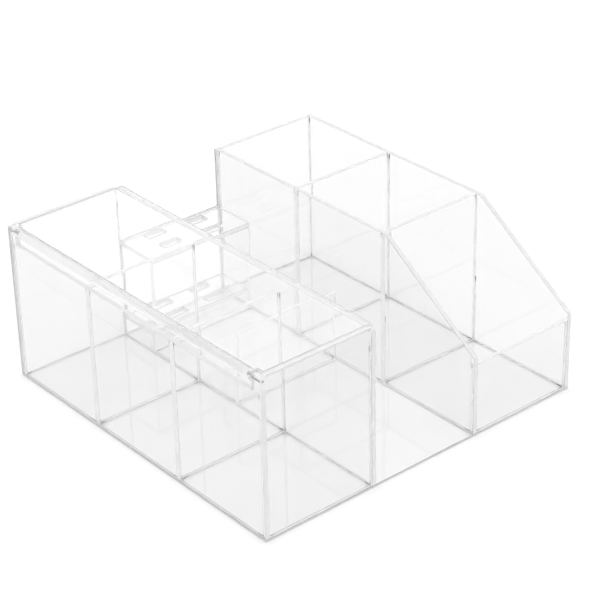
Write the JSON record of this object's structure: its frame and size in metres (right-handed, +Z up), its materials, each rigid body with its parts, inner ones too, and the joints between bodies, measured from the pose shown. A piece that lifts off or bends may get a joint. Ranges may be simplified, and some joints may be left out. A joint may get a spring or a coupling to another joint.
{
  "type": "desk organizer",
  "caption": "Clear acrylic desk organizer: a divided box with a hinged lid, an open centre bay with a slotted block, and a divided tray with sloped side walls.",
  "frame": {"origin": "centre of the base's underside", "axes": "+X to the right, from the lidded box to the sloped tray; +Y to the back; +Z up"},
  "size_m": [0.2262, 0.225, 0.0995],
  "materials": {
    "clear_acrylic": "clear polished sheet with fine-sawn edges",
    "clear_rod": "clear polished round rod",
    "steel": "plain ground dowel pin"
  },
  "bodies": {
    "organizer": {"base_plate": "clear_acrylic", "left_outer_wall": "clear_acrylic", "left_inner_wall": "clear_acrylic", "left_front_wall": "clear_acrylic", "left_back_wall": "clear_acrylic", "left_divider_front": "clear_acrylic", "left_divider_rear": "clear_acrylic", "block_top_plate": "clear_acrylic", "block_guide_shelf": "clear_acrylic", "block_front_panel": "clear_acrylic", "block_back_panel": "clear_acrylic", "mid_divider": "clear_acrylic", "right_inner_wall": "clear_acrylic", "right_outer_wall": "clear_acrylic", "right_front_wall": "clear_acrylic", "right_back_wall": "clear_acrylic", "right_divider_front": "clear_acrylic", "right_divider_rear": "clear_acrylic"},
    "lid": {"lid_panel": "clear_acrylic", "hinge_rod": "clear_rod", "hinge_pin_front": "steel", "hinge_pin_rear": "steel"}
  },
  "joints": [
    {"name": "lid_hinge", "type": "hinge", "parent": "organizer", "child": "lid", "pos_m": [-0.111, 0, 0.0964], "axis": [0, -1, 0], "range_deg": [0, 205]}
  ]
}
